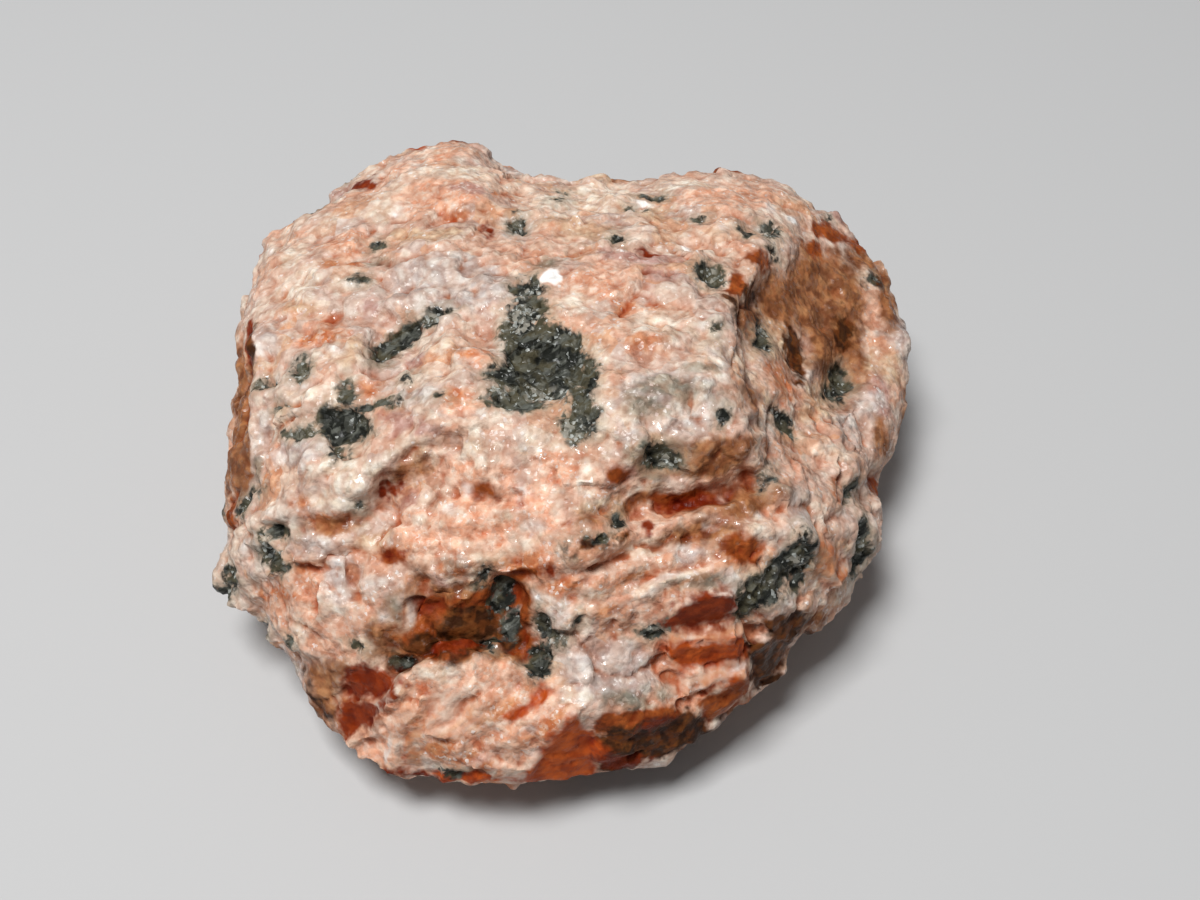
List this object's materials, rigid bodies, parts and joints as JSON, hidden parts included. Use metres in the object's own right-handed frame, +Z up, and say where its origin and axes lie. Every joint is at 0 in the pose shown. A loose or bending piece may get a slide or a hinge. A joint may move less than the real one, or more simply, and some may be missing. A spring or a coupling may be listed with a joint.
{
  "type": "rough feldspar",
  "caption": "Rough piece of pink feldspar with grey quartz and dark grains, broken on all sides, lying on a small flat spot.",
  "frame": {"origin": "centre of the stone's box in plan, on the surface that it rests on", "axes": "+Z up from the flat spot underneath, +Y towards the high back of the plateau, away from the stepped front, +X towards the shaded basin on the right"},
  "size_m": [0.0334, 0.0352, 0.0156],
  "materials": {
    "feldspar": "rough broken faces, mottled salmon pink, cream and grey with dark grains, small shiny cleavage faces"
  },
  "bodies": {
    "root": {"feldspar_stone": "feldspar"}
  },
  "joints": []
}
